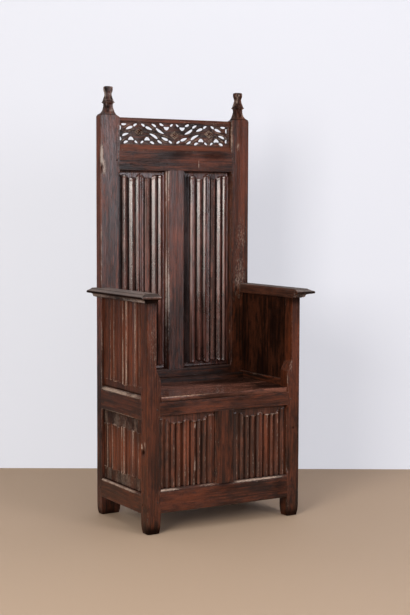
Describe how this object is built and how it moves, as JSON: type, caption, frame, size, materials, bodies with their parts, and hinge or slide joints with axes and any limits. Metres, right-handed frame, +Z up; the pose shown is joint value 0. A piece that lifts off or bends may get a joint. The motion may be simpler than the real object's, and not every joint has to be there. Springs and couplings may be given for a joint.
{
  "type": "high-back armchair",
  "caption": "Joined oak box-seat armchair with linenfold panels, a tall panelled back, a pierced tracery frieze, carved finials and a hinged seat lid over a chest.",
  "frame": {"origin": "on the floor, under the middle of the overall box", "axes": "+Z up, the chair faces -Y, +X to the right as seen from the front"},
  "size_m": [0.744, 0.455, 1.64],
  "materials": {
    "oak_frame": "dark waxed aged oak",
    "oak_panel": "dark waxed aged oak, carved",
    "oak_seat": "aged oak polished by use",
    "oak_inside": "bare aged oak",
    "oak_peg": "dark oak end grain",
    "iron": "blackened wrought iron"
  },
  "bodies": {
    "chair_frame": {"arm_left": "oak_frame", "arm_right": "oak_frame", "back_bottom_rail": "oak_frame", "back_bottom_rail_peg_left": "oak_peg", "back_bottom_rail_peg_right": "oak_peg", "back_lower_panel": "oak_inside", "back_muntin": "oak_frame", "back_panel_left": "oak_panel", "back_panel_right": "oak_panel", "back_seat_rail": "oak_frame", "back_seat_rail_peg_left": "oak_peg", "back_seat_rail_peg_right": "oak_peg", "back_top_rail": "oak_frame", "back_top_rail_peg_left": "oak_peg", "back_top_rail_peg_right": "oak_peg", "chest_floor_board_1": "oak_inside", "chest_floor_board_2": "oak_inside", "chest_floor_board_3": "oak_inside", "floor_cleat_left": "oak_inside", "floor_cleat_right": "oak_inside", "front_bottom_rail": "oak_frame", "front_bottom_rail_peg_left": "oak_peg", "front_bottom_rail_peg_right": "oak_peg", "front_muntin": "oak_frame", "front_panel_left": "oak_panel", "front_panel_right": "oak_panel", "front_post_left": "oak_frame", "front_post_right": "oak_frame", "front_seat_rail": "oak_frame", "front_seat_rail_peg_left": "oak_peg", "front_seat_rail_peg_right": "oak_peg", "lid_cleat_left": "oak_inside", "lid_cleat_right": "oak_inside", "lid_pivot_pin_left": "iron", "lid_pivot_pin_right": "iron", "pierced_frieze": "oak_frame", "rear_post_left": "oak_frame", "rear_post_right": "oak_frame", "seat_back_strip": "oak_seat", "side_bottom_rail_left": "oak_frame", "side_bottom_rail_left_peg_front": "oak_peg", "side_bottom_rail_left_peg_rear": "oak_peg", "side_bottom_rail_right": "oak_frame", "side_bottom_rail_right_peg_front": "oak_peg", "side_bottom_rail_right_peg_rear": "oak_peg", "side_lower_panel_left": "oak_panel", "side_lower_panel_right": "oak_panel", "side_mid_rail_left": "oak_frame", "side_mid_rail_left_peg_front": "oak_peg", "side_mid_rail_left_peg_rear": "oak_peg", "side_mid_rail_right": "oak_frame", "side_mid_rail_right_peg_front": "oak_peg", "side_mid_rail_right_peg_rear": "oak_peg", "side_upper_panel_left": "oak_panel", "side_upper_panel_right": "oak_panel"},
    "seat_lid": {"seat_lid_batten_left": "oak_inside", "seat_lid_batten_right": "oak_inside", "seat_lid_front_board": "oak_seat", "seat_lid_rear_board": "oak_seat"}
  },
  "joints": [
    {"name": "lid_hinge", "type": "hinge", "parent": "chair_frame", "child": "seat_lid", "pos_m": [0, 0.1404, 0.4913], "axis": [-1, 0, 0], "range_deg": [0, 95]}
  ]
}
